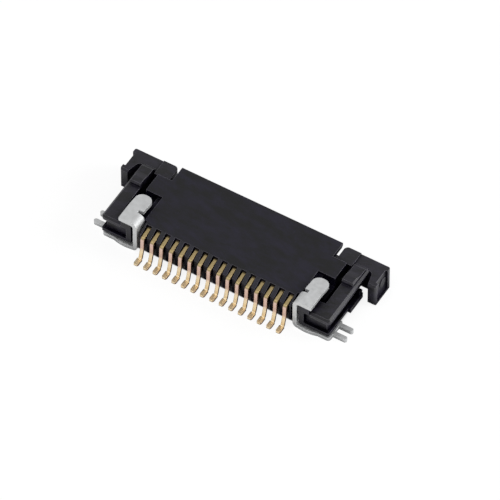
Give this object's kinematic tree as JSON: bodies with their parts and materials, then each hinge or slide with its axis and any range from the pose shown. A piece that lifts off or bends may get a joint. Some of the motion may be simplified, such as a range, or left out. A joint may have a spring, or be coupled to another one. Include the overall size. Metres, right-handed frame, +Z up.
{
  "type": "fpc connector",
  "caption": "Right-angle surface-mount connector for flat film cable, with a sliding lock bar, gold spring contacts and solder hold-down clips.",
  "frame": {"origin": "on the circuit board, under the middle of the whole connector with its slider closed", "axes": "+X along the row of contacts, +Y towards the cable's side, +Z up from the board"},
  "size_m": [0.027, 0.0098, 0.0038],
  "materials": {
    "housing_resin": "matt moulded high-temperature resin, black",
    "slider_resin": "matt moulded high-temperature resin, black",
    "contact_gold": "thin gold plate on formed copper alloy",
    "hold_down_tin": "satin tin plate on formed copper alloy"
  },
  "bodies": {
    "base": {"housing": "housing_resin", "hold_down_left": "hold_down_tin", "hold_down_right": "hold_down_tin", "contact_01": "contact_gold", "contact_02": "contact_gold", "contact_03": "contact_gold", "contact_04": "contact_gold", "contact_05": "contact_gold", "contact_06": "contact_gold", "contact_07": "contact_gold", "contact_08": "contact_gold", "contact_09": "contact_gold", "contact_10": "contact_gold", "contact_11": "contact_gold", "contact_12": "contact_gold", "contact_13": "contact_gold", "contact_14": "contact_gold", "contact_15": "contact_gold", "contact_16": "contact_gold"},
    "lock": {"slider": "slider_resin"}
  },
  "joints": [
    {"name": "lock_slide", "type": "slide", "parent": "base", "child": "lock", "axis": [0, 1, 0], "range_m": [0, 0.0012]}
  ]
}
